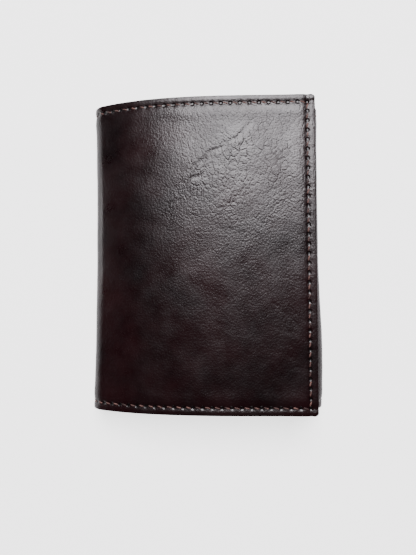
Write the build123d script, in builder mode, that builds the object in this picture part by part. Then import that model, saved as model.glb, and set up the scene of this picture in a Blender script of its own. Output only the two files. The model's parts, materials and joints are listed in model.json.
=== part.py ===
"""Trifold leather wallet, closed, lying on its back with the front flap uppermost.

The wallet is three stitched panels joined by two folds. The back panel lies on the table.
The inner flap folds over it from the right, and the front flap wraps over both from the left.
Outer leather covers all five sections, and behind it a bill pocket runs the whole length.
Each section is a rigid part, and the sections meet at four crease lines, two in each fold,
because that is where the leather bends.

Axes: +X towards the inner fold, +Y towards the mouth of the bill pocket, +Z up through the
stack. The origin is under the middle of the closed wallet, on the table. Millimetres.
"""

from build123d import *
from math import asin, atan2, cos, degrees, hypot, sin
import os

# ---------------------------------------------------------------- driving dimensions
# The closed wallet
wallet_height = 110.0
fold_margin = 5.65  # flat leather between the back panel's pockets and each fold
front_edge_inset = 3.5  # the front flap stops short of the inner fold by this much
inner_edge_inset = 16.5  # the inner flap stops short of the outer fold by this much
front_springback = 3.74  # how far the front flap's free edge lifts off the inner fold
closing_clearance = 0.4  # between the inner flap and the back panel's pockets

# Leather, lining and film
shell_leather = 1.0
hem_leather = 0.5  # the skived, turned-over margin of the shell
hem_width = 6.0
lining_cloth = 0.2
divider_leather = 0.6  # between the bill pocket and the card pockets
pocket_leather = 0.6
slot_gap = 0.12  # an empty card slot
window_film = 0.25
corner_radius = 2.0
lay_gap = 0.1  # between a lining and the hem round it

# Card pockets
card_width = 54.0
card_height = 85.6
card_ease = 5.0  # a pocket's width beyond the card's, for its two seams
card_showing = 10.0  # how much of the lowest card stands out of its pocket
pocket_step = 9.0  # each pocket behind stands this much higher
stack_inset = 0.8  # pockets and divider stop this short of the shell's edge
mouth_drop = 4.0  # the divider is this much lower than the shell at the mouth
notch_radius = 14.0
notch_depth = 4.0

# Identity window on the inner flap
window_width = 42.0
window_height = 66.0
window_corner = 4.0
window_border = 12.0  # leather under and over the opening
film_margin = 4.0
slip_pocket_rise = 5.0  # the slip pocket behind the window stands this much higher

# Stitching
seam_inset = 2.7  # from an edge to its row of stitches
pitch = 3.3
thread_length = 2.6
thread_width = 0.55
thread_depth = 0.4
thread_sink = 0.03  # the thread lies this far under the leather's face
groove_width = 0.75
groove_depth = 0.45

# Folds
outer_fold_ease = 0.3  # leather to spare round the whole stack
inner_fold_ease = 1.74  # leather to spare round two panels
crease_gap = 0.2  # between two sections, along the outer face
crease_angle = 45.0  # each crease lies half way round a quarter of its fold

# ---------------------------------------------------------------- sizes that follow
divider_depth = shell_leather + hem_leather
pocket_pitch = pocket_leather + slot_gap
pocket_depths = [divider_depth + divider_leather + slot_gap + n * pocket_pitch for n in range(3)]
panel_thickness = pocket_depths[2] + pocket_leather
stack_width = card_width + card_ease
outer_radius = 1.5 * panel_thickness + outer_fold_ease
inner_radius = panel_thickness + inner_fold_ease
closed_width = stack_width + 2 * fold_margin + outer_radius + inner_radius
top = wallet_height / 2
bottom = -top
divider_top = top - mouth_drop
stack_bottom = bottom + stack_inset
pocket_tops = [stack_bottom + card_height - card_showing + n * pocket_step for n in (2, 1, 0)]
frame_top = stack_bottom + window_height + 2 * window_border

outer_centre = (-closed_width / 2 + outer_radius, outer_radius)
inner_centre = (closed_width / 2 - inner_radius, inner_radius)
front_edge = (
    closed_width / 2 - front_edge_inset,
    2 * inner_radius + panel_thickness + front_springback,
)
inner_edge = (-closed_width / 2 + inner_edge_inset, 2 * panel_thickness + closing_clearance)


def flap_slope(edge, centre, radius, side):
    """The slope of a flap's outer face. side is 1 if its fold is on the left, -1 if right."""
    across, up = (edge[0] - centre[0]) * side, edge[1] - centre[1]
    return side * (atan2(up, across) - asin(radius / hypot(across, up)))


def flap_length(edge, centre, radius):
    """From the free edge to where the flap's outer face meets its fold."""
    return (hypot(edge[0] - centre[0], edge[1] - centre[1]) ** 2 - radius**2) ** 0.5


def flap_plane(edge, slope):
    """A plane on a flap's outer face, its origin on the free edge, its normal into the leather."""
    return Plane(
        origin=(edge[0], 0, edge[1]),
        x_dir=(-cos(slope), 0, -sin(slope)),
        z_dir=(sin(slope), 0, -cos(slope)),
    )


front_slope = flap_slope(front_edge, outer_centre, outer_radius, 1)
inner_slope = flap_slope(inner_edge, inner_centre, inner_radius, -1)
front_length = flap_length(front_edge, outer_centre, outer_radius)
inner_length = flap_length(inner_edge, inner_centre, inner_radius)
front_face = flap_plane(front_edge, front_slope)
inner_face = flap_plane(inner_edge, inner_slope)
back_face = Plane.XY
back_left, back_right = outer_centre[0], inner_centre[0]

# Angles round each fold, from +X towards +Z. Each section's arc is (centre, radius, from, to).
outer_gap = degrees(crease_gap / 2 / outer_radius)
inner_gap = degrees(crease_gap / 2 / inner_radius)
outer_fold = (outer_centre, outer_radius)
inner_fold = (inner_centre, inner_radius)
front_arc = (*outer_fold, 90 + degrees(front_slope), 180 - crease_angle - outer_gap)
wide_arc = (*outer_fold, 180 - crease_angle + outer_gap, 180 + crease_angle - outer_gap)
back_outer_arc = (*outer_fold, 180 + crease_angle + outer_gap, 270)
back_inner_arc = (*inner_fold, -90, -crease_angle - inner_gap)
narrow_arc = (*inner_fold, -crease_angle + inner_gap, crease_angle - inner_gap)
inner_arc = (*inner_fold, crease_angle + inner_gap, 90 + degrees(inner_slope))


# ---------------------------------------------------------------- making leather
def plate(face, across, along, depth, thickness, rounded=None, mode=Mode.ADD):
    """A flat sheet from depth under a panel's outer face.

    across and along are its limits on the panel. rounded picks its side with round corners.
    """
    with BuildSketch(face.offset(depth)) as outline:
        with Locations(((across[0] + across[1]) / 2, (along[0] + along[1]) / 2)):
            Rectangle(abs(across[1] - across[0]), along[1] - along[0])
        if rounded is not None:
            fillet(outline.vertices().group_by(Axis.X)[rounded], corner_radius)
    extrude(outline.sketch, amount=thickness, mode=mode)


def bend(arc, along, depth, thickness, mode=Mode.ADD):
    """A sheet bent round part of a fold, from depth under its outer face."""
    centre, radius, start, end = arc
    with BuildSketch(Plane.XZ.offset(-along[1])) as section:
        with BuildLine():
            outside = CenterArc(centre, radius - depth, start, end - start)
            inside = CenterArc(centre, radius - depth - thickness, start, end - start)
            Line(outside @ 0, inside @ 0)
            Line(outside @ 1, inside @ 1)
        make_face()
    extrude(section.sketch, amount=along[1] - along[0], mode=mode)


full = (bottom, top)
within_hem = (bottom + hem_width, top - hem_width)
lining_span = (within_hem[0] + lay_gap, within_hem[1] - lay_gap)
divider_span = (stack_bottom, divider_top)
seam_rows = (bottom + seam_inset, top - seam_inset)


def thick_edge(arc):
    """A shell's arc, with its margins turned over at the top and bottom."""
    bend(arc, full, 0, divider_depth)
    bend(arc, within_hem, shell_leather, hem_leather, Mode.SUBTRACT)


def grooves(face, across):
    """Cuts the grooves that the top and bottom rows of stitches lie in."""
    for y in seam_rows:
        along = (y - groove_width / 2, y + groove_width / 2)
        plate(face, across, along, 0, groove_depth, mode=Mode.SUBTRACT)


def edge_groove(face, x):
    """Cuts the groove along a free edge."""
    across = (x - groove_width / 2, x + groove_width / 2)
    plate(face, across, seam_rows, 0, groove_depth, mode=Mode.SUBTRACT)


def stitches(face, across):
    """The threads of the top and bottom rows, evenly spaced between two limits."""
    count = int((across[1] - across[0]) / pitch)
    for y in seam_rows:
        for n in range(count):
            x = across[0] + (n + 0.5) * (across[1] - across[0]) / count
            reach = (x - thread_length / 2, x + thread_length / 2)
            along = (y - thread_width / 2, y + thread_width / 2)
            plate(face, reach, along, thread_sink, thread_depth)


def edge_stitches(face, x):
    """The threads along a free edge, evenly spaced between the top and bottom rows."""
    start, end = seam_rows[0] + pitch / 2, seam_rows[1] - pitch / 2
    count = int((end - start) / pitch)
    for n in range(count):
        y = start + (n + 0.5) * (end - start) / count
        across = (x - thread_width / 2, x + thread_width / 2)
        plate(face, across, (y - thread_length / 2, y + thread_length / 2), thread_sink, thread_depth)


def save(builder, name):
    """Names a finished piece and writes it as one STEP file."""
    builder.part.label = name
    export_step(builder.part, f"parts/{name}.step")


os.makedirs("parts", exist_ok=True)

# ---------------------------------------------------------------- back panel
with BuildPart() as back_shell:
    plate(back_face, (back_left, back_right), full, 0, divider_depth)
    recess = (back_left, back_right)
    plate(back_face, recess, within_hem, shell_leather, hem_leather, mode=Mode.SUBTRACT)
    thick_edge(back_outer_arc)
    thick_edge(back_inner_arc)
    grooves(back_face, (back_left, back_right))
save(back_shell, "back_shell")

with BuildPart() as back_lining:
    plate(back_face, (back_left, back_right), lining_span, shell_leather, lining_cloth)
    bend(back_outer_arc, lining_span, shell_leather, lining_cloth)
    bend(back_inner_arc, lining_span, shell_leather, lining_cloth)
save(back_lining, "back_lining")

with BuildPart() as back_divider:
    plate(back_face, (back_left, back_right), divider_span, divider_depth, divider_leather)
    bend(back_outer_arc, divider_span, divider_depth, divider_leather)
    bend(back_inner_arc, divider_span, divider_depth, divider_leather)
save(back_divider, "back_divider")

with BuildPart() as back_stitching:
    stitches(back_face, (back_left, back_right))
save(back_stitching, "back_stitching")

# ---------------------------------------------------------------- the two folds' middles
for fold_name, fold_arc in (("wide_fold", wide_arc), ("narrow_fold", narrow_arc)):
    with BuildPart() as fold_shell:
        thick_edge(fold_arc)
    save(fold_shell, f"{fold_name}_shell")

    with BuildPart() as fold_lining:
        bend(fold_arc, lining_span, shell_leather, lining_cloth)
    save(fold_lining, f"{fold_name}_lining")

    with BuildPart() as fold_divider:
        bend(fold_arc, divider_span, divider_depth, divider_leather)
    save(fold_divider, f"{fold_name}_divider")

# ---------------------------------------------------------------- front flap
with BuildPart() as front_shell:
    plate(front_face, (0, front_length), full, 0, divider_depth, rounded=0)
    recess = (hem_width, front_length)
    plate(front_face, recess, within_hem, shell_leather, hem_leather, mode=Mode.SUBTRACT)
    thick_edge(front_arc)
    grooves(front_face, (seam_inset, front_length))
    edge_groove(front_face, seam_inset)
save(front_shell, "front_shell")

with BuildPart() as front_lining:
    lining_reach = (hem_width + lay_gap, front_length)
    plate(front_face, lining_reach, lining_span, shell_leather, lining_cloth)
    bend(front_arc, lining_span, shell_leather, lining_cloth)
save(front_lining, "front_lining")

with BuildPart() as front_divider:
    divider_reach = (stack_inset, front_length)
    plate(front_face, divider_reach, divider_span, divider_depth, divider_leather)
    bend(front_arc, divider_span, divider_depth, divider_leather)
save(front_divider, "front_divider")

with BuildPart() as front_stitching:
    stitches(front_face, (seam_inset + pitch / 2, front_length))
    edge_stitches(front_face, seam_inset)
save(front_stitching, "front_stitching")

# ---------------------------------------------------------------- card pockets
# Three pockets, the highest against the divider and the lowest outermost. Each has a shallow
# thumb notch in its mouth.
back_middle = (back_left + back_right) / 2
back_stack = (back_middle - stack_width / 2, back_middle + stack_width / 2)
front_stack = (stack_inset, stack_inset + stack_width)
for panel, face, stack in (("back", back_face, back_stack), ("front", front_face, front_stack)):
    for level, depth, mouth in zip(("high", "middle", "low"), pocket_depths, pocket_tops):
        with BuildPart() as pocket:
            plate(face, stack, (stack_bottom, mouth), depth, pocket_leather)
            with BuildSketch(face.offset(depth)) as notch:
                with Locations(((stack[0] + stack[1]) / 2, mouth + notch_radius - notch_depth)):
                    Circle(notch_radius)
            extrude(notch.sketch, amount=pocket_leather, mode=Mode.SUBTRACT)
        save(pocket, f"{panel}_card_pocket_{level}")

# ---------------------------------------------------------------- inner flap
with BuildPart() as inner_shell:
    plate(inner_face, (-inner_length, 0), full, 0, divider_depth, rounded=-1)
    recess = (-inner_length, -hem_width)
    plate(inner_face, recess, within_hem, shell_leather, hem_leather, mode=Mode.SUBTRACT)
    thick_edge(inner_arc)
    grooves(inner_face, (-inner_length, -seam_inset))
    edge_groove(inner_face, -seam_inset)
save(inner_shell, "inner_shell")

with BuildPart() as inner_lining:
    lining_reach = (-inner_length, -hem_width - lay_gap)
    plate(inner_face, lining_reach, lining_span, shell_leather, lining_cloth)
    bend(inner_arc, lining_span, shell_leather, lining_cloth)
save(inner_lining, "inner_lining")

with BuildPart() as inner_divider:
    divider_reach = (-inner_length, -stack_inset)
    plate(inner_face, divider_reach, divider_span, divider_depth, divider_leather)
    bend(inner_arc, divider_span, divider_depth, divider_leather)
save(inner_divider, "inner_divider")

with BuildPart() as inner_stitching:
    stitches(inner_face, (-inner_length, -seam_inset - pitch / 2))
    edge_stitches(inner_face, -seam_inset)
save(inner_stitching, "inner_stitching")

# The identity window: a slip pocket, a clear film, and the leather frame that holds the film.
inner_stack = (-stack_inset - stack_width, -stack_inset)
window_middle = (inner_stack[0] + inner_stack[1]) / 2
window_centre = stack_bottom + window_border + window_height / 2
film_depth = pocket_depths[1]
frame_depth = film_depth + window_film

with BuildPart() as slip_pocket:
    slip_span = (stack_bottom, frame_top + slip_pocket_rise)
    plate(inner_face, inner_stack, slip_span, pocket_depths[0], pocket_leather)
save(slip_pocket, "id_slip_pocket")

with BuildPart() as id_film:
    half_film = (window_width / 2 + film_margin, window_height / 2 + film_margin)
    film_across = (window_middle - half_film[0], window_middle + half_film[0])
    film_along = (window_centre - half_film[1], window_centre + half_film[1])
    plate(inner_face, film_across, film_along, film_depth, window_film)
save(id_film, "id_window_film")

with BuildPart() as id_frame:
    plate(inner_face, inner_stack, (stack_bottom, frame_top), frame_depth, pocket_leather)
    with BuildSketch(inner_face.offset(frame_depth)) as opening:
        with Locations((window_middle, window_centre)):
            RectangleRounded(window_width, window_height, window_corner)
    extrude(opening.sketch, amount=pocket_leather, mode=Mode.SUBTRACT)
save(id_frame, "id_window_frame")

# ---------------------------------------------------------------- where the creases are
for name, (centre, radius), angle in (
    ("outer fold, lower crease", outer_fold, 180 + crease_angle),
    ("outer fold, upper crease", outer_fold, 180 - crease_angle),
    ("inner fold, lower crease", inner_fold, -crease_angle),
    ("inner fold, upper crease", inner_fold, crease_angle),
):
    crease = Vector(*centre) + Vector(radius, 0).rotate(Axis.Z, angle)
    print(f"{name}: x {crease.X:.4f}, z {crease.Y:.4f}")
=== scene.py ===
"""A closed trifold wallet in dark pebbled leather, laid on its back on a pale floor."""

import json

import bpy
import numpy as np
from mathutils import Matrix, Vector


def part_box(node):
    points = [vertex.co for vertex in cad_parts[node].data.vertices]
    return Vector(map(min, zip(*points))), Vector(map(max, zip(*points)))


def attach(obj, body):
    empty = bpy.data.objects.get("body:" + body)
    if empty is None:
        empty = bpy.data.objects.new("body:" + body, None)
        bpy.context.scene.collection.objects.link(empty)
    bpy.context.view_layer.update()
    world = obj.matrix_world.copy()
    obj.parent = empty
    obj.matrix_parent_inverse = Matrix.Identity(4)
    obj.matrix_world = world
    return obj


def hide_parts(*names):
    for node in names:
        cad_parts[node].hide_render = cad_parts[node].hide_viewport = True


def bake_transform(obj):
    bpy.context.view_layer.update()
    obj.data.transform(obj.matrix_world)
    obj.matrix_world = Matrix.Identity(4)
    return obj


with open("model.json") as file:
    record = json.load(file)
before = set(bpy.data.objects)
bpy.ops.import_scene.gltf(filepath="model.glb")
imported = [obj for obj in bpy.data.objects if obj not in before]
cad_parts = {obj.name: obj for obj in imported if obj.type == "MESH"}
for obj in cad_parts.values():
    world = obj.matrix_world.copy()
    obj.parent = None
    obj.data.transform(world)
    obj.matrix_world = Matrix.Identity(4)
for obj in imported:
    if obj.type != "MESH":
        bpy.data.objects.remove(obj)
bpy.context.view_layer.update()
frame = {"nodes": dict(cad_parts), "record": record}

# ---------------------------------------------------------------- the path of the leather
# The outer leather is one long hide: front flap, wide fold, back panel, narrow fold, inner
# flap. Every layer follows its path, so a place in the wallet is (reach along it, height up it,
# depth in it).
creases = {j["name"]: Vector(j["pos_m"]) for j in frame["record"]["behaviour"]["joints"]}


def fold_of(flap, side):
    """The centre (x, z) and radius of a fold, from its two crease lines."""
    low, high = creases[f"{flap}_lower_crease"], creases[f"{flap}_upper_crease"]
    radius = (high.z - low.z) / 2 / np.sin(np.pi / 4)
    return np.array([low.x - side * radius * np.cos(np.pi / 4), (low.z + high.z) / 2]), radius


wide_centre, wide_radius = fold_of("front_flap", -1)
narrow_centre, narrow_radius = fold_of("inner_flap", 1)
front_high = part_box("front_shell")[1]
inner_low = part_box("inner_shell")[0]
half_height = front_high.y
hide_thickness = 0.0015
tip_setback = 0.0001
front_tip = np.array([front_high.x - tip_setback, front_high.z])
inner_tip = np.array([inner_low.x, inner_low.z + hide_thickness])


fold_points, flap_points, back_points = 61, 121, 141


def round_a_fold(centre, radius, start, end):
    """Points round a fold between two angles in degrees."""
    angles = np.radians(np.linspace(start, end, fold_points))
    return np.column_stack((centre[0] + radius * np.cos(angles), centre[1] + radius * np.sin(angles)))


def bowed(start, start_angle, end, end_angle):
    """A gently bowed run between two points that leaves and arrives at the given angles."""
    t = np.linspace(0, 1, flap_points)[:, None]
    span = np.linalg.norm(end - start)
    leave = span * np.array([np.cos(np.radians(start_angle)), np.sin(np.radians(start_angle))])
    arrive = span * np.array([np.cos(np.radians(end_angle)), np.sin(np.radians(end_angle))])
    return (
        (2 * t**3 - 3 * t**2 + 1) * start
        + (t**3 - 2 * t**2 + t) * leave
        + (3 * t**2 - 2 * t**3) * end
        + (t**3 - t**2) * arrive
    )


# Where each flap leaves its fold, and which way it points at its free edge, in degrees.
front_meets_fold, inner_meets_fold = 112, 84
front_tip_heading, inner_tip_heading = 181.5, 183
wide_arc = round_a_fold(wide_centre, wide_radius, front_meets_fold, 270)
narrow_arc = round_a_fold(narrow_centre, narrow_radius, -90, inner_meets_fold)
front_run = bowed(front_tip, front_tip_heading, wide_arc[0], 90 + front_meets_fold)
inner_run = bowed(narrow_arc[-1], 90 + inner_meets_fold, inner_tip, inner_tip_heading)
back_run = np.linspace(wide_arc[-1], narrow_arc[0], back_points)[1:-1]
path = np.vstack((front_run[:-1], wide_arc, back_run, narrow_arc, inner_run[1:]))
steps = np.linalg.norm(np.diff(path, axis=0), axis=1)
reaches = np.concatenate(([0], np.cumsum(steps)))
heading = np.gradient(path, reaches, axis=0)
heading /= np.linalg.norm(heading, axis=1)[:, None]
outward = np.column_stack((heading[:, 1], -heading[:, 0]))
girth = reaches[-1]


def reach_at(x, z):
    """The reach of the place on the path that is nearest to a point."""
    return reaches[np.argmin((path[:, 0] - x) ** 2 + (path[:, 1] - z) ** 2)]


wide_side = reach_at(wide_centre[0] - wide_radius, wide_centre[1])
flat_margin = 0.004  # the folds' skins reach this far under the back panel
wide_foot = reach_at(wide_centre[0] + flat_margin, 0)
narrow_foot = reach_at(narrow_centre[0] - flat_margin, 0)
narrow_side = reach_at(narrow_centre[0] + narrow_radius, narrow_centre[1])
# How far the wide fold is drawn in and the narrow fold bulges, and over what reach.
waist, waist_spread = 0.0008, 0.012
belly, belly_spread = 0.0012, 0.008
belly_middle, belly_height = -0.036, 0.022


def near(value, middle, width):
    """1 at the middle, falling smoothly to 0 a few widths away."""
    return np.exp(-(((value - middle) / width) ** 2))


def place(reach, height, depth):
    """Where a place in the wallet is. The wide fold is drawn in at its waist, the narrow bulges."""
    x, z = np.interp(reach, reaches, path[:, 0]), np.interp(reach, reaches, path[:, 1])
    nx, nz = np.interp(reach, reaches, outward[:, 0]), np.interp(reach, reaches, outward[:, 1])
    size = np.hypot(nx, nz)
    x, z = x - nx / size * depth, z - nz / size * depth
    x = x + waist * near(reach, wide_side, waist_spread) * (1 - (height / half_height) ** 2)
    bulge = belly * near(reach, narrow_side, belly_spread)
    x = x + bulge * near(height, belly_middle, belly_height)
    return np.column_stack((x, height, z))


# ---------------------------------------------------------------- outer leather
# One skived hide, 1 mm thick with its margins turned over to 1.5 mm, and a row of stitches all
# round. It is drawn as five skins that meet edge to edge.
seam_inset = 0.0027
stitch_pitch = 0.0033
seam_height = half_height - seam_inset
edge_stitch_pitch = 2 * seam_height / round(2 * seam_height / stitch_pitch)
corner_round = 0.0012
corner_fade = 0.01  # the reach over which a rounded corner fades into the straight rows
# Each crease in the front leather: two ends as (across, up) from the middle, and its depth.
front_creases = [
    ((-0.0088, 0.0231), (0.0007, 0.0293), 0.00013),
    ((-0.0075, 0.0262), (0.0037, 0.0357), 0.00015),
    ((-0.0027, 0.0310), (0.0085, 0.0392), 0.00013),
    ((0.0060, 0.0375), (0.0180, 0.0456), 0.00013),
    ((0.0156, 0.0449), (0.0231, 0.0398), 0.00007),
    ((0.0100, 0.0330), (0.0190, 0.0420), 0.00005),
    ((-0.0150, 0.0150), (-0.0060, 0.0215), 0.00005),
    ((0.0020, 0.0260), (0.0110, 0.0300), 0.00005),
    ((0.0215, -0.0150), (0.0300, -0.0230), 0.00005),
    ((0.0235, -0.0250), (0.0335, -0.0290), 0.00006),
    ((0.0225, -0.0330), (0.0320, -0.0360), 0.00005),
    ((0.0255, -0.0410), (0.0340, -0.0380), 0.00005),
    ((0.0030, -0.0230), (0.0062, -0.0250), 0.00010),
]
crease_width, crease_wander = 0.0005, 0.0005
# Beside a crease the leather is pushed up: by what share of its depth, how far off, how wide.
bank_share, bank_distance, bank_width = 0.25, 0.0014, 0.0009


def crease_relief(reach, height):
    """How deep the creases press into the front leather."""
    relief = np.zeros_like(reach)
    across = front_tip[0] - reach
    for start, end, deep in front_creases:
        a, b = np.array(start), np.array(end)
        run = b - a
        along = ((across - a[0]) * run[0] + (height - a[1]) * run[1]) / (run @ run)
        along = np.clip(along, 0, 1)
        wander = crease_wander * np.sin(along * 7 + a[0] * 4000)
        off_across = across - a[0] - along * run[0] - wander
        off_up = height - a[1] - along * run[1] + wander
        off = np.hypot(off_across, off_up)
        fade = np.sin(np.pi * along)
        relief += deep * near(off, 0, crease_width) * fade
        relief -= bank_share * deep * near(off, bank_distance, bank_width) * fade
    return relief


# Beside an edge the seam pulls the hide in, and the hem puffs out on both sides of it: each as
# (how deep, how far from the edge, how wide).
hem_shape = (
    (0.00022, seam_inset, 0.0007),
    (-0.00014, seam_inset + 0.0030, 0.0022),
    (-0.00008, 0.0013, 0.0007),
)
pucker_depth, pucker_width = 0.00004, 0.0012
slow_swell, quick_swell = 0.00006, 0.00002


def hide_relief(reach, height):
    """How far the hide's face lies under its even surface: seams pull it in, hems puff it out."""
    from_ends = np.minimum(reach, girth - reach)
    relief = np.zeros_like(reach)
    for distance in (half_height - np.abs(height), from_ends):
        for deep, middle, width in hem_shape:
            relief += deep * near(distance, middle, width)
    pucker = np.cos(2 * np.pi * (reach - seam_inset) / stitch_pitch)
    relief += pucker_depth * pucker * near(half_height - np.abs(height), seam_inset, pucker_width)
    pucker = np.cos(2 * np.pi * (height + seam_height) / edge_stitch_pitch)
    relief += pucker_depth * pucker * near(from_ends, seam_inset, pucker_width)
    slow = np.sin(reach * 190 + 2 * np.sin(height * 90)) * np.sin(height * 150 + 1.3)
    quick = np.sin(reach * 520 + 1.7 * np.sin(height * 330)) * np.sin(height * 470 + reach * 210)
    relief += slow_swell * slow + quick_swell * quick
    return relief + crease_relief(reach, height)


# Sheets that are rounded at every edge, even where the next section begins.
free_sheets = set()
end_tolerance = 0.0001  # a span this close to the hide's end isn't joined there
rim_cosine = 0.5  # faces that turn more than this across an edge make it a rim
join_reach = 0.0015


def layer(name, reach_span, height_span, depth, thickness, cell, relief=None, rounding=0.0003, shape=None):
    """A sheet of leather or cloth that follows the path, with its real edges rounded over.

    The edges where it meets the next section of the same sheet stay square, to close the join.
    """
    across, up = reach_span[1] - reach_span[0], height_span[1] - height_span[0]
    bpy.ops.object.select_all(action="DESELECT")
    bpy.ops.mesh.primitive_grid_add(
        x_subdivisions=max(3, round(across / cell)), y_subdivisions=max(3, round(up / cell)), size=2
    )
    sheet = bpy.context.object
    sheet.name = sheet.data.name = name
    mesh = sheet.data
    flat = np.array([v.co for v in mesh.vertices])
    reach = reach_span[0] + (flat[:, 0] + 1) / 2 * across
    height = height_span[0] + (flat[:, 1] + 1) / 2 * up
    if shape:
        reach, height = shape(reach, height)
    sunk = depth + (relief(reach, height) if relief else 0)
    mesh.vertices.foreach_set("co", place(reach, height, sunk).astype(np.float32).ravel())
    corners = np.zeros(len(mesh.loops), np.int32)
    mesh.loops.foreach_get("vertex_index", corners)
    uv = np.column_stack((reach, height))[corners].astype(np.float32)
    mesh.uv_layers[0].data.foreach_set("uv", uv.ravel())
    mesh.flip_normals()
    solid = sheet.modifiers.new("thickness", "SOLIDIFY")
    solid.thickness, solid.offset = thickness, -1
    bpy.ops.object.modifier_apply(modifier=solid.name)
    joined = [r for r in reach_span if end_tolerance < r < girth - end_tolerance]
    joins = [place(np.array([r]), np.zeros(1), depth)[0] for r in joined]
    weights = np.zeros(len(mesh.edges), np.float32)
    rim_faces = {}
    for face in mesh.polygons:
        for key in face.edge_keys:
            rim_faces.setdefault(key, []).append(face.normal)
    for edge in mesh.edges:
        normals = rim_faces[edge.key]
        if len(normals) == 2 and normals[0].dot(normals[1]) < rim_cosine:
            a, b = (mesh.vertices[i].co for i in edge.vertices)
            middle = (a + b) / 2
            runs_up = abs(a.y - b.y) > 0.8 * (a - b).length
            close = thickness + join_reach
            at_join = any(np.hypot(middle.x - j[0], middle.z - j[2]) < close for j in joins)
            weights[edge.index] = 0 if runs_up and at_join and sheet.name not in free_sheets else 1
    mesh.attributes.new("bevel_weight_edge", "FLOAT", "EDGE").data.foreach_set("value", weights)
    soften = sheet.modifiers.new("edges", "BEVEL")
    soften.limit_method, soften.width, soften.segments = "WEIGHT", rounding, 3
    bpy.ops.object.modifier_apply(modifier=soften.name)
    bpy.ops.object.shade_smooth_by_angle(angle=np.radians(50))
    return sheet


blend_reach = 0.0031


def diagonal(centre, x, z):
    """The two ends of a crease's bend, on a diagonal through the fold's centre."""
    step = Vector((x, 0, z)).normalized() * blend_reach
    middle = Vector((centre[0], 0, centre[1]))
    return middle - step, middle + step


wide_upper_bend = diagonal(wide_centre, 1, 1)
wide_lower_bend = diagonal(wide_centre, 1, -1)
narrow_lower_bend = diagonal(narrow_centre, -1, -1)
narrow_upper_bend = diagonal(narrow_centre, -1, 1)
# Each section: its name, where it runs, and how it moves: one body, or two and the bend's ends.
sections = [
    ("front_flap", (0, wide_side), ("wide_fold", "front_flap", *wide_upper_bend)),
    ("wide_fold", (wide_side, wide_foot), ("wide_fold", "back_panel", *wide_lower_bend)),
    ("back_panel", (wide_foot, narrow_foot), ("back_panel",)),
    ("narrow_fold", (narrow_foot, narrow_side), ("narrow_fold", "back_panel", *narrow_lower_bend)),
    ("inner_flap", (narrow_side, girth), ("narrow_fold", "inner_flap", *narrow_upper_bend)),
]
cad_prefix = {
    "front_flap": "front", "wide_fold": "wide_fold", "back_panel": "back",
    "narrow_fold": "narrow_fold", "inner_flap": "inner",
}


def join_up(piece, motion, slot, *replaced):
    """Lets a piece ride on its body, or fixes it where it lies, and hides the plain nodes it replaces."""
    if len(motion) == 1:
        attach(piece, motion[0])
    else:
        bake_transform(piece)
    if replaced:
        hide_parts(*replaced)


def rounded_ends(reach, height):
    """Rounds the corners at the two free ends of the hide."""
    from_edge = np.clip(corner_round - (half_height - np.abs(height)), 0, corner_round)
    inset = corner_round - np.sqrt(corner_round**2 - from_edge**2)
    reach = np.where(reach < corner_fade, reach + inset * (1 - reach / corner_fade), reach)
    from_end = girth - reach
    reach = np.where(from_end < corner_fade, reach - inset * (1 - from_end / corner_fade), reach)
    return reach, height


# Leather's own look: pebbles pressed in the grain, pores, slow changes of dye and polish.
def new_group(name, inputs, outputs):
    """An empty shader group with named inputs (name, kind, value) and outputs (name, kind)."""
    group = bpy.data.node_groups.new(name, "ShaderNodeTree")
    for title, kind, value in inputs:
        socket = group.interface.new_socket(title, in_out="INPUT", socket_type=kind)
        if value is not None:
            socket.default_value = value
    for title, kind in outputs:
        group.interface.new_socket(title, in_out="OUTPUT", socket_type=kind)
    return group, group.nodes.new("NodeGroupInput"), group.nodes.new("NodeGroupOutput")


def math_node(tree, operation, first, second=None, clamp=False):
    """A Math node with its inputs linked or set. Returns its output."""
    node = tree.nodes.new("ShaderNodeMath")
    node.operation, node.use_clamp = operation, clamp
    for socket, value in zip(node.inputs, (first, second)):
        if isinstance(value, (int, float)):
            socket.default_value = value
        elif value is not None:
            tree.links.new(value, socket)
    return node.outputs[0]


def texture(tree, kind, coordinates, scale, output, **settings):
    """A texture node of a kind over the given coordinates. Returns one of its outputs."""
    node = tree.nodes.new(kind)
    for key, value in settings.items():
        if key in node.inputs:
            node.inputs[key].default_value = value
        else:
            setattr(node, key, value)
    node.inputs["Scale"].default_value = scale
    tree.links.new(coordinates, node.inputs["Vector"])
    return node.outputs[output]


def noise(tree, coordinates, scale, **settings):
    """A grey noise texture over the given coordinates."""
    return texture(tree, "ShaderNodeTexNoise", coordinates, scale, "Fac", **settings)


def ramp(tree, value, low, high, from_low, from_high):
    """Maps a value from one range to another, held inside it."""
    node = tree.nodes.new("ShaderNodeMapRange")
    limits = (("From Min", from_low), ("From Max", from_high), ("To Min", low), ("To Max", high))
    for name, number in limits:
        node.inputs[name].default_value = number
    tree.links.new(value, node.inputs["Value"])
    return node.outputs["Result"]


def mix_colour(tree, factor, first, second):
    """Mixes two colours, each linked or set, by a factor."""
    node = tree.nodes.new("ShaderNodeMix")
    node.data_type = "RGBA"
    sockets = [s for s in node.inputs if s.enabled]
    for socket, value in zip(sockets, (factor, first, second)):
        if isinstance(value, (int, float, tuple)):
            socket.default_value = value
        else:
            tree.links.new(value, socket)
    return [s for s in node.outputs if s.enabled][0]


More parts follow.
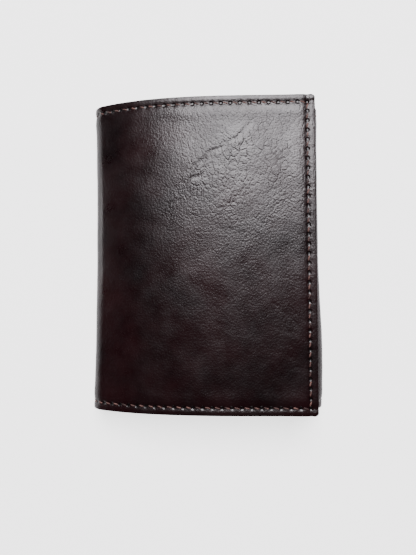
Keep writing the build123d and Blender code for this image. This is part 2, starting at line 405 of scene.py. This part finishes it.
grain_group, grain_in, grain_out = new_group(
    "pebbled grain",
    [
        ("Vector", "NodeSocketVector", None),
        ("Pebble scale", "NodeSocketFloat", 1500.0),
        ("Creased", "NodeSocketFloat", 0.0),
    ],
    [("Relief", "NodeSocketFloat"), ("Dye", "NodeSocketFloat"), ("Polish", "NodeSocketFloat")],
)
on_hide = grain_in.outputs["Vector"]
warp_distance = 0.0009
warp = texture(grain_group, "ShaderNodeTexNoise", on_hide, 300.0, "Color", Detail=2.0)
warped = grain_group.nodes.new("ShaderNodeVectorMath")
warped.operation = "MULTIPLY_ADD"
grain_group.links.new(warp, warped.inputs[0])
warped.inputs[1].default_value = (warp_distance, warp_distance, warp_distance)
grain_group.links.new(on_hide, warped.inputs[2])
pebble = grain_group.nodes.new("ShaderNodeTexVoronoi")
pebble.feature = "SMOOTH_F1"
pebble.inputs["Smoothness"].default_value = 0.35
grain_group.links.new(grain_in.outputs["Pebble scale"], pebble.inputs["Scale"])
grain_group.links.new(warped.outputs[0], pebble.inputs["Vector"])
pores = noise(grain_group, on_hide, 3600.0, Detail=3.0)
slanted = grain_group.nodes.new("ShaderNodeMapping")
slanted.inputs["Rotation"].default_value = (0, 0, np.radians(-42))
slanted.inputs["Scale"].default_value = (1.0, 0.62, 1.0)
grain_group.links.new(warped.outputs[0], slanted.inputs["Vector"])
folds = texture(
    grain_group, "ShaderNodeTexVoronoi", slanted.outputs[0], 520.0, "Distance", feature="DISTANCE_TO_EDGE"
)
fold_lines = ramp(grain_group, folds, 0.0, 1.05, 0.0, 0.16)
patches = noise(grain_group, on_hide, 120.0, Detail=3.0)
patchy = ramp(grain_group, patches, 0.45, 1.0, 0.36, 0.60)
creased = math_node(grain_group, "ADD", grain_in.outputs["Creased"], 0.14)
fold_depth = math_node(grain_group, "MULTIPLY", creased, patchy)
veins = math_node(grain_group, "MULTIPLY", fold_lines, fold_depth)
dome = math_node(grain_group, "MULTIPLY", pebble.outputs["Distance"], -0.8)
folded = math_node(grain_group, "ADD", dome, veins)
pitted = math_node(grain_group, "MULTIPLY", pores, 0.35)
relief_sum = math_node(grain_group, "ADD", folded, pitted)
grain_group.links.new(relief_sum, grain_out.inputs["Relief"])
dye = noise(grain_group, on_hide, 38.0, Detail=5.0, Roughness=0.6)
grain_group.links.new(dye, grain_out.inputs["Dye"])
polish = noise(grain_group, on_hide, 95.0, Detail=6.0, Roughness=0.65)
grain_group.links.new(polish, grain_out.inputs["Polish"])

hole_heart, hole_rim = 0.00032, 0.00085
whole_turns = 1000.5  # keeps the count of stitches above 0, with a hole between two of them
hole_group, hole_in, hole_out = new_group(
    "needle holes",
    [
        ("Along", "NodeSocketFloat", 0.0),
        ("Across", "NodeSocketFloat", 0.0),
        ("Pitch", "NodeSocketFloat", 0.003),
    ],
    [("Hole", "NodeSocketFloat")],
)
turn = math_node(hole_group, "DIVIDE", hole_in.outputs["Along"], hole_in.outputs["Pitch"])
turn = math_node(hole_group, "FRACT", math_node(hole_group, "ADD", turn, whole_turns))
from_hole = math_node(hole_group, "SUBTRACT", turn, 0.5)
off_along = math_node(hole_group, "MULTIPLY", from_hole, hole_in.outputs["Pitch"])
squares = [math_node(hole_group, "MULTIPLY", v, v) for v in (off_along, hole_in.outputs["Across"])]
off = math_node(hole_group, "SQRT", math_node(hole_group, "ADD", *squares))
hole_group.links.new(ramp(hole_group, off, 1.0, 0.0, hole_heart, hole_rim), hole_out.inputs["Hole"])


# Where the front leather is most creased: (reach, height) of the middle, how far, how strong.
creased_spots = [
    ((0.021, 0.034), 0.032, 0.75),
    ((0.036, 0.024), 0.018, 0.45),
    ((0.009, -0.031), 0.018, 0.30),
]
# Needle holes carry painted shade: their colour is pulled towards near black, besides being sunk in the bump.
hole_shade_colour = (0.002, 0.0015, 0.0015, 1)
hole_shade_strength, hole_sink = 0.9, 2.5
grain_height = 0.00012


def creased_places(tree, where):
    """A mask over the hide that is strongest where hands have creased it."""
    total = None
    for (reach, height), size, strength in creased_spots:
        away = tree.nodes.new("ShaderNodeVectorMath")
        away.operation = "DISTANCE"
        tree.links.new(where, away.inputs[0])
        away.inputs[1].default_value = (reach, height, 0)
        spot = ramp(tree, away.outputs["Value"], strength, 0.0, 0.0, size)
        total = spot if total is None else math_node(tree, "ADD", total, spot)
    return total


def leather(name, deep, warm, pebble_scale, bump, rough, uneven=0.08, holes=False):
    """A dyed leather: two shades of its dye, the size of its pebbles, and how it shines."""
    material = bpy.data.materials.new(name)
    material.use_nodes = True
    tree = material.node_tree
    shader = tree.nodes["Principled BSDF"]
    where = tree.nodes.new("ShaderNodeUVMap").outputs["UV"]
    grain = tree.nodes.new("ShaderNodeGroup")
    grain.node_tree = grain_group
    tree.links.new(where, grain.inputs["Vector"])
    grain.inputs["Pebble scale"].default_value = pebble_scale
    if holes:
        tree.links.new(creased_places(tree, where), grain.inputs["Creased"])
    colour = mix_colour(tree, ramp(tree, grain.outputs["Dye"], 0.0, 1.0, 0.35, 0.68), deep, warm)
    roughness = ramp(tree, grain.outputs["Polish"], rough - uneven, rough + uneven, 0.3, 0.7)
    relief = grain.outputs["Relief"]
    if holes:
        split = tree.nodes.new("ShaderNodeSeparateXYZ")
        tree.links.new(where, split.inputs[0])
        reach, height = split.outputs[0], split.outputs[1]
        from_row = math_node(tree, "SUBTRACT", math_node(tree, "ABSOLUTE", height), seam_height)
        from_end = math_node(tree, "MINIMUM", reach, math_node(tree, "SUBTRACT", girth, reach))
        along_row = math_node(tree, "SUBTRACT", reach, seam_inset)
        along_end = math_node(tree, "ADD", height, seam_height)
        off_end = math_node(tree, "SUBTRACT", from_end, seam_inset)
        rows = ((along_row, from_row, stitch_pitch), (along_end, off_end, edge_stitch_pitch))
        marks = []
        for along, across, spacing in rows:
            node = tree.nodes.new("ShaderNodeGroup")
            node.node_tree = hole_group
            tree.links.new(along, node.inputs["Along"])
            tree.links.new(across, node.inputs["Across"])
            node.inputs["Pitch"].default_value = spacing
            marks.append(node.outputs["Hole"])
        hole = math_node(tree, "MAXIMUM", *marks)
        inside = math_node(tree, "LESS_THAN", math_node(tree, "ABSOLUTE", height), seam_height + 0.0008)
        hole = math_node(tree, "MULTIPLY", hole, inside)
        # Painted shade: the leather's colour is darkened inside each needle hole.
        colour = mix_colour(tree, math_node(tree, "MULTIPLY", hole, hole_shade_strength), colour, hole_shade_colour)
        relief = math_node(tree, "SUBTRACT", relief, math_node(tree, "MULTIPLY", hole, hole_sink))
    tree.links.new(colour, shader.inputs["Base Color"])
    tree.links.new(roughness, shader.inputs["Roughness"])
    raised = tree.nodes.new("ShaderNodeBump")
    raised.inputs["Strength"].default_value = bump
    raised.inputs["Distance"].default_value = grain_height
    tree.links.new(relief, raised.inputs["Height"])
    tree.links.new(raised.outputs["Normal"], shader.inputs["Normal"])
    shader.inputs["Specular IOR Level"].default_value = 0.5
    return material


outer_leather = leather(
    "aubergine pebbled leather",
    deep=(0.0038, 0.0009, 0.0014, 1),
    warm=(0.0140, 0.0032, 0.0042, 1),
    pebble_scale=1500.0,
    bump=0.46,
    rough=0.32,
    holes=True,
)
front_cell, hidden_cell = 0.00055, 0.0009
for section, span, motion in sections:
    fineness = front_cell if section == "front_flap" else hidden_cell
    skin = layer(
        f"{section}_leather", span, (-half_height, half_height), 0, hide_thickness, fineness,
        relief=hide_relief, rounding=0.0005, shape=rounded_ends,
    )
    skin.data.materials.append(outer_leather)
    join_up(skin, motion, "outer_leather", f"{cad_prefix[section]}_shell")

# ---------------------------------------------------------------- stitching
# Waxed thread, pulled tight between needle holes. The rows follow the top and bottom edges all
# the way round the folds, and turn down both free edges.
thread_length, thread_thickness, thread_slant = 0.0024, 0.00055, 0.30
slant_change, thread_flatness = 0.05, 0.8
thread_dip, thread_bite = 0.00030, 0.00004
thread_dark, thread_light = (0.035, 0.016, 0.014, 1), (0.19, 0.095, 0.078, 1)


def thread_material():
    """Twisted reddish-tan thread, darker where wax and dye have caught."""
    material = bpy.data.materials.new("waxed tan thread")
    material.use_nodes = True
    tree = material.node_tree
    shader = tree.nodes["Principled BSDF"]
    where = tree.nodes.new("ShaderNodeTexCoord").outputs["Object"]
    uneven = noise(tree, where, 420.0, Detail=4.0)
    shade = mix_colour(tree, ramp(tree, uneven, 0.0, 1.0, 0.35, 0.65), thread_dark, thread_light)
    tree.links.new(shade, shader.inputs["Base Color"])
    shader.inputs["Roughness"].default_value = 0.62
    twist = tree.nodes.new("ShaderNodeTexWave")
    twist.inputs["Scale"].default_value = 900.0
    twist.inputs["Distortion"].default_value = 1.5
    tree.links.new(where, twist.inputs["Vector"])
    raised = tree.nodes.new("ShaderNodeBump")
    raised.inputs["Strength"].default_value = 0.5
    raised.inputs["Distance"].default_value = 0.00008
    tree.links.new(twist.outputs["Fac"], raised.inputs["Height"])
    tree.links.new(raised.outputs["Normal"], shader.inputs["Normal"])
    return material


def stitch_row(name, spots, inside_depth=None):
    """One thread for each (reach, height, way): way 0 runs along the path and 1 runs up it.

    The threads lie on the hide's outer face, or at inside_depth(height) on the inside.
    """
    bpy.ops.object.select_all(action="DESELECT")
    bpy.ops.mesh.primitive_uv_sphere_add(segments=8, ring_count=7, radius=0.5)
    row = bpy.context.object
    row.name = row.data.name = name
    model = np.array([v.co for v in row.data.vertices])
    model = model[:, [2, 1, 0]] * (thread_length, thread_thickness, thread_thickness * thread_flatness)
    faces = [tuple(reversed(p.vertices)) for p in row.data.polygons]
    all_points, all_faces = [], []
    for index, (reach, height, way) in enumerate(spots):
        slant = thread_slant + slant_change * np.sin(index * 2.3)
        along = model[:, 0] * np.cos(slant) - model[:, 1] * np.sin(slant)
        beside = model[:, 0] * np.sin(slant) + model[:, 1] * np.cos(slant)
        reaches_to, heights_to = (along, beside) if way == 0 else (-beside, along)
        dip = thread_dip * (np.abs(model[:, 0]) / (thread_length / 2)) ** 2
        r, h = reach + reaches_to, height + heights_to
        if inside_depth:
            points = place(r, h, inside_depth(height) + model[:, 2] - dip + thread_bite)
        else:
            base = hide_relief(np.full(1, reach), np.full(1, height))[0]
            points = place(r, h, base - model[:, 2] + dip - thread_bite)
        offset = len(all_points) * len(model)
        all_points.append(points)
        all_faces += [tuple(i + offset for i in face) for face in faces]
    row.data.clear_geometry()
    row.data.from_pydata(np.vstack(all_points).tolist(), [], all_faces)
    bpy.ops.object.mode_set(mode="EDIT")
    bpy.ops.mesh.select_all(action="SELECT")
    bpy.ops.mesh.normals_make_consistent(inside=False)
    bpy.ops.object.mode_set(mode="OBJECT")
    bpy.ops.object.shade_smooth()
    return row


thread = thread_material()
row_count = int((girth - 2 * seam_inset) / stitch_pitch)
edge_count = round(2 * seam_height / edge_stitch_pitch)
for section, span, motion in sections:
    spots = []
    for n in range(row_count):
        reach = seam_inset + (n + 0.5) * stitch_pitch
        if span[0] <= reach < span[1]:
            spots += [(reach, seam_height, 0), (reach, -seam_height, 0)]
    for end, reach in ((0, seam_inset), (girth, girth - seam_inset)):
        if end in span:
            spots += [(reach, -seam_height + (n + 0.5) * edge_stitch_pitch, 1) for n in range(edge_count)]
    row = stitch_row(f"{section}_stitches", spots)
    row.data.materials.append(thread)
    node = f"{cad_prefix[section]}_stitching"
    join_up(row, motion, "thread", *([node] if node in frame["nodes"] else []))

# ---------------------------------------------------------------- lining
# Plain woven cloth, thin and dark. It is glued to the inside of the hide and caught under its
# turned-over hems.
hem_width = 0.0061
glue_line = 0.00002
lining_depth, lining_thickness = hide_thickness + glue_line, 0.0002
lining_dark, lining_light = (0.006, 0.005, 0.0055, 1), (0.03, 0.024, 0.025, 1)


def woven_cloth():
    """A fine dark plain weave."""
    material = bpy.data.materials.new("dark lining weave")
    material.use_nodes = True
    tree = material.node_tree
    shader = tree.nodes["Principled BSDF"]
    where = tree.nodes.new("ShaderNodeUVMap").outputs["UV"]
    heights = []
    for direction in ("X", "Y"):
        wave = tree.nodes.new("ShaderNodeTexWave")
        wave.bands_direction = direction
        wave.inputs["Scale"].default_value = 700.0
        wave.inputs["Distortion"].default_value = 0.4
        tree.links.new(where, wave.inputs["Vector"])
        heights.append(wave.outputs["Fac"])
    weave = math_node(tree, "MAXIMUM", *heights)
    shade = mix_colour(tree, weave, lining_dark, lining_light)
    tree.links.new(shade, shader.inputs["Base Color"])
    shader.inputs["Roughness"].default_value = 0.8
    shader.inputs["Sheen Weight"].default_value = 0.25
    raised = tree.nodes.new("ShaderNodeBump")
    raised.inputs["Distance"].default_value = 0.00008
    tree.links.new(weave, raised.inputs["Height"])
    tree.links.new(raised.outputs["Normal"], shader.inputs["Normal"])
    return material


cloth = woven_cloth()
for section, span, motion in sections:
    kept = (max(span[0], hem_width), min(span[1], girth - hem_width))
    free = half_height - hem_width
    lining = layer(
        f"{section}_cloth", kept, (-free, free), lining_depth, lining_thickness, 0.0015, rounding=0.00005
    )
    lining.data.materials.append(cloth)
    join_up(lining, motion, "lining", f"{cad_prefix[section]}_lining")

# ---------------------------------------------------------------- divider
# One strip of thinner leather between the bill pocket and the card pockets, stitched in with
# the hide at the bottom and lower than it at the mouth.
divider_low, divider_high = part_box("back_divider")
divider_depth, divider_thickness = 0.00178, 0.0006
stack_inset = 0.0008
inner_leather = leather(
    "smooth pocket leather",
    deep=(0.0075, 0.0030, 0.0036, 1),
    warm=(0.0160, 0.0068, 0.0072, 1),
    pebble_scale=2200.0,
    bump=0.35,
    rough=0.48,
    uneven=0.03,
)
for section, span, motion in sections:
    kept = (max(span[0], stack_inset), min(span[1], girth - stack_inset))
    free_sheets.add(f"{section}_divider")
    wall = layer(
        f"{section}_divider", kept, (divider_low.y, divider_high.y), divider_depth, divider_thickness, 0.0014,
        rounding=0.00018,
    )
    wall.data.materials.append(inner_leather)
    join_up(wall, motion, "inner_leather", f"{cad_prefix[section]}_divider")

# ---------------------------------------------------------------- card pockets
# Six pockets of thin leather in two stacks, each with a folded mouth and a thumb notch. They
# are stitched down at both sides and stand one behind the other.
notch_depth, notch_half_width = 0.004, 0.0099
pocket_gap = 0.00012
pocket_thickness = 0.0006
stack_low, stack_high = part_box("back_card_pocket_low")
stack_width = stack_high.x - stack_low.x
# Each stack: its panel, the body it moves with, and the reach where it starts.
stacks = (("front", "front_flap", stack_inset), ("back", "back_panel", reach_at(stack_low.x, 0)))
for panel, body, start in stacks:
    for order, level in enumerate(("high", "middle", "low")):
        node = f"{panel}_card_pocket_{level}"
        low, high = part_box(node)
        middle = start + stack_width / 2

        def notched(reach, height, bottom=low.y, mouth=high.y, middle=middle):
            """Draws the mouth down into a shallow thumb notch."""
            share = np.clip((height - bottom) / (mouth - bottom), 0, 1) ** 4
            across = np.clip(np.abs(reach - middle) / notch_half_width, 0, 1)
            return reach, height - share * notch_depth * np.cos(across * np.pi / 2) ** 1.5

        depth = divider_depth + divider_thickness + pocket_gap + order * (pocket_thickness + pocket_gap)
        free_sheets.add(f"{node}_leather")
        pocket = layer(
            f"{node}_leather", (start, start + stack_width), (low.y, high.y), depth, pocket_thickness, 0.0012,
            rounding=0.00022, shape=notched,
        )
        pocket.data.materials.append(inner_leather)
        join_up(pocket, (body,), "inner_leather", node)

# The seams that hold each stack: up both sides and along the bottom, through all its leather.
pocket_seam_inset = 0.0016
pocket_stitch_pitch = 0.0030
mouth_clearance = 0.0012  # a thread lies on the next leather this far below a mouth
seam_top_gap = 0.001
for panel, body, start in stacks:
    levels = []
    for order, level in enumerate(("high", "middle", "low")):
        low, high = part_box(f"{panel}_card_pocket_{level}")
        face = divider_depth + (order + 1) * (pocket_thickness + pocket_gap) + divider_thickness
        levels.append((high.y, face))

    def face_of_stack(height, levels=levels):
        """The depth of the innermost leather at a height."""
        under = [depth for mouth, depth in levels if height < mouth - mouth_clearance]
        return max(under or [levels[0][1]])

    foot = low.y + pocket_seam_inset
    rise = levels[0][0] - seam_top_gap - foot
    spots = [
        (start + side, foot + (n + 0.5) * pocket_stitch_pitch, 1)
        for side in (pocket_seam_inset, stack_width - pocket_seam_inset)
        for n in range(int(rise / pocket_stitch_pitch))
    ]
    spots += [
        (start + pocket_seam_inset + (n + 0.5) * pocket_stitch_pitch, foot, 0)
        for n in range(int((stack_width - 2 * pocket_seam_inset) / pocket_stitch_pitch))
    ]
    row = stitch_row(f"{panel}_pocket_stitches", spots, inside_depth=face_of_stack)
    row.data.materials.append(thread)
    join_up(row, (body,), "thread")

# ---------------------------------------------------------------- identity window
# A slip pocket of thin leather on the inner flap, and over it a clear film, held round its
# edge by a leather frame that is stitched down.
slip_low, slip_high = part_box("id_slip_pocket")
window_reach = (girth - stack_inset - stack_width, girth - stack_inset)
free_sheets.add("slip_pocket_leather")
slip_depth = divider_depth + divider_thickness + pocket_gap
slip = layer(
    "slip_pocket_leather", window_reach, (slip_low.y, slip_high.y), slip_depth, pocket_thickness, 0.0012,
    rounding=0.00022,
)
slip.data.materials.append(inner_leather)
join_up(slip, ("inner_flap",), "inner_leather", "id_slip_pocket")


def cad_leather():
    """The pocket leather for a plate that has no path of its own."""
    material = inner_leather.copy()
    material.name = "window frame leather"
    tree = material.node_tree
    coordinates = tree.nodes.new("ShaderNodeTexCoord").outputs["Object"]
    for link in list(tree.links):
        if link.from_node.type == "UVMAP":
            tree.links.new(coordinates, link.to_socket)
    return material


def clear_film():
    """Clear, faintly scuffed film."""
    material = bpy.data.materials.new("clear window film")
    material.use_nodes = True
    tree = material.node_tree
    shader = tree.nodes["Principled BSDF"]
    shader.inputs["Base Color"].default_value = (0.82, 0.84, 0.85, 1)
    shader.inputs["Alpha"].default_value = 0.22
    where = tree.nodes.new("ShaderNodeTexCoord").outputs["Object"]
    scuffs = noise(tree, where, 260.0, Detail=6.0)
    tree.links.new(ramp(tree, scuffs, 0.08, 0.28, 0.35, 0.7), shader.inputs["Roughness"])
    return material


for node, material in (("id_window_frame", cad_leather()), ("id_window_film", clear_film())):
    carried = frame["nodes"][node]
    carried.data.materials.clear()
    carried.data.materials.append(material)

# ---------------------------------------------------------------- stage, light and camera
# A plain pale floor that glows a little, one large soft light beyond the wallet's upper
# right, and two weak lights that catch its fold and its lower edge.
bpy.ops.object.select_all(action="DESELECT")
floor_size, floor_drop = 6, 0.0004
bpy.ops.mesh.primitive_plane_add(size=floor_size, location=(0, 0, -floor_drop))
floor = bpy.context.object
floor.name = "floor"
paper = bpy.data.materials.new("pale paper")
paper.use_nodes = True
paper_tree = paper.node_tree
paper_shader = paper_tree.nodes["Principled BSDF"]
paper_place = paper_tree.nodes.new("ShaderNodeTexCoord").outputs["Object"]
paper_shade = noise(paper_tree, paper_place, 30.0, Detail=4.0)
paper_colour = mix_colour(paper_tree, paper_shade, (0.93, 0.93, 0.93, 1), (0.97, 0.97, 0.97, 1))
paper_tree.links.new(paper_colour, paper_shader.inputs["Base Color"])
paper_shader.inputs["Roughness"].default_value = 0.9
paper_shader.inputs["Emission Color"].default_value = (1, 1, 1, 1)
seen = paper_tree.nodes.new("ShaderNodeLightPath").outputs["Is Camera Ray"]
glow = ramp(paper_tree, seen, 0.22, 2.2, 0.0, 1.0)
paper_tree.links.new(glow, paper_shader.inputs["Emission Strength"])
floor.data.materials.append(paper)


def soft_light(name, where, towards, size, power):
    """A square soft light at a place, turned towards a point."""
    bpy.ops.object.light_add(type="AREA", location=where)
    light = bpy.context.object
    light.name = name
    light.data.size, light.data.energy = size, power
    light.rotation_euler = (Vector(towards) - Vector(where)).to_track_quat("-Z", "Y").to_euler()
    return light


window_light = soft_light("window_light", (0.04, 0.62, 1.00), (0, 0, 0), 0.66, 25)
window_light.data.color = (1.0, 0.965, 1.0)
soft_light("left_rim", (-1.30, 0.20, 0.16), (0, 0, 0), 0.25, 2)
soft_light("low_rim", (0.20, -1.30, 0.22), (0, 0, 0), 0.3, 1.5)

world = bpy.data.worlds.new("studio")
bpy.context.scene.world = world
world.use_nodes = True
room = world.node_tree
room.nodes["Background"].inputs["Color"].default_value = (1, 1, 1, 1)
room_seen = room.nodes.new("ShaderNodeLightPath").outputs["Is Camera Ray"]
room_glow = ramp(room, room_seen, 0.02, 1.6, 0.0, 1.0)
room.links.new(room_glow, room.nodes["Background"].inputs["Strength"])

camera_distance = 0.142
bpy.ops.object.camera_add()
camera = bpy.context.object
camera.location = (0.0046, -0.0131, front_tip[1] + camera_distance)
camera.rotation_euler = np.radians((2.0, 1.47, -0.23))
camera.data.sensor_width = 36
camera.data.lens = 27.05
camera.data.clip_start = 0.005
bpy.context.scene.camera = camera
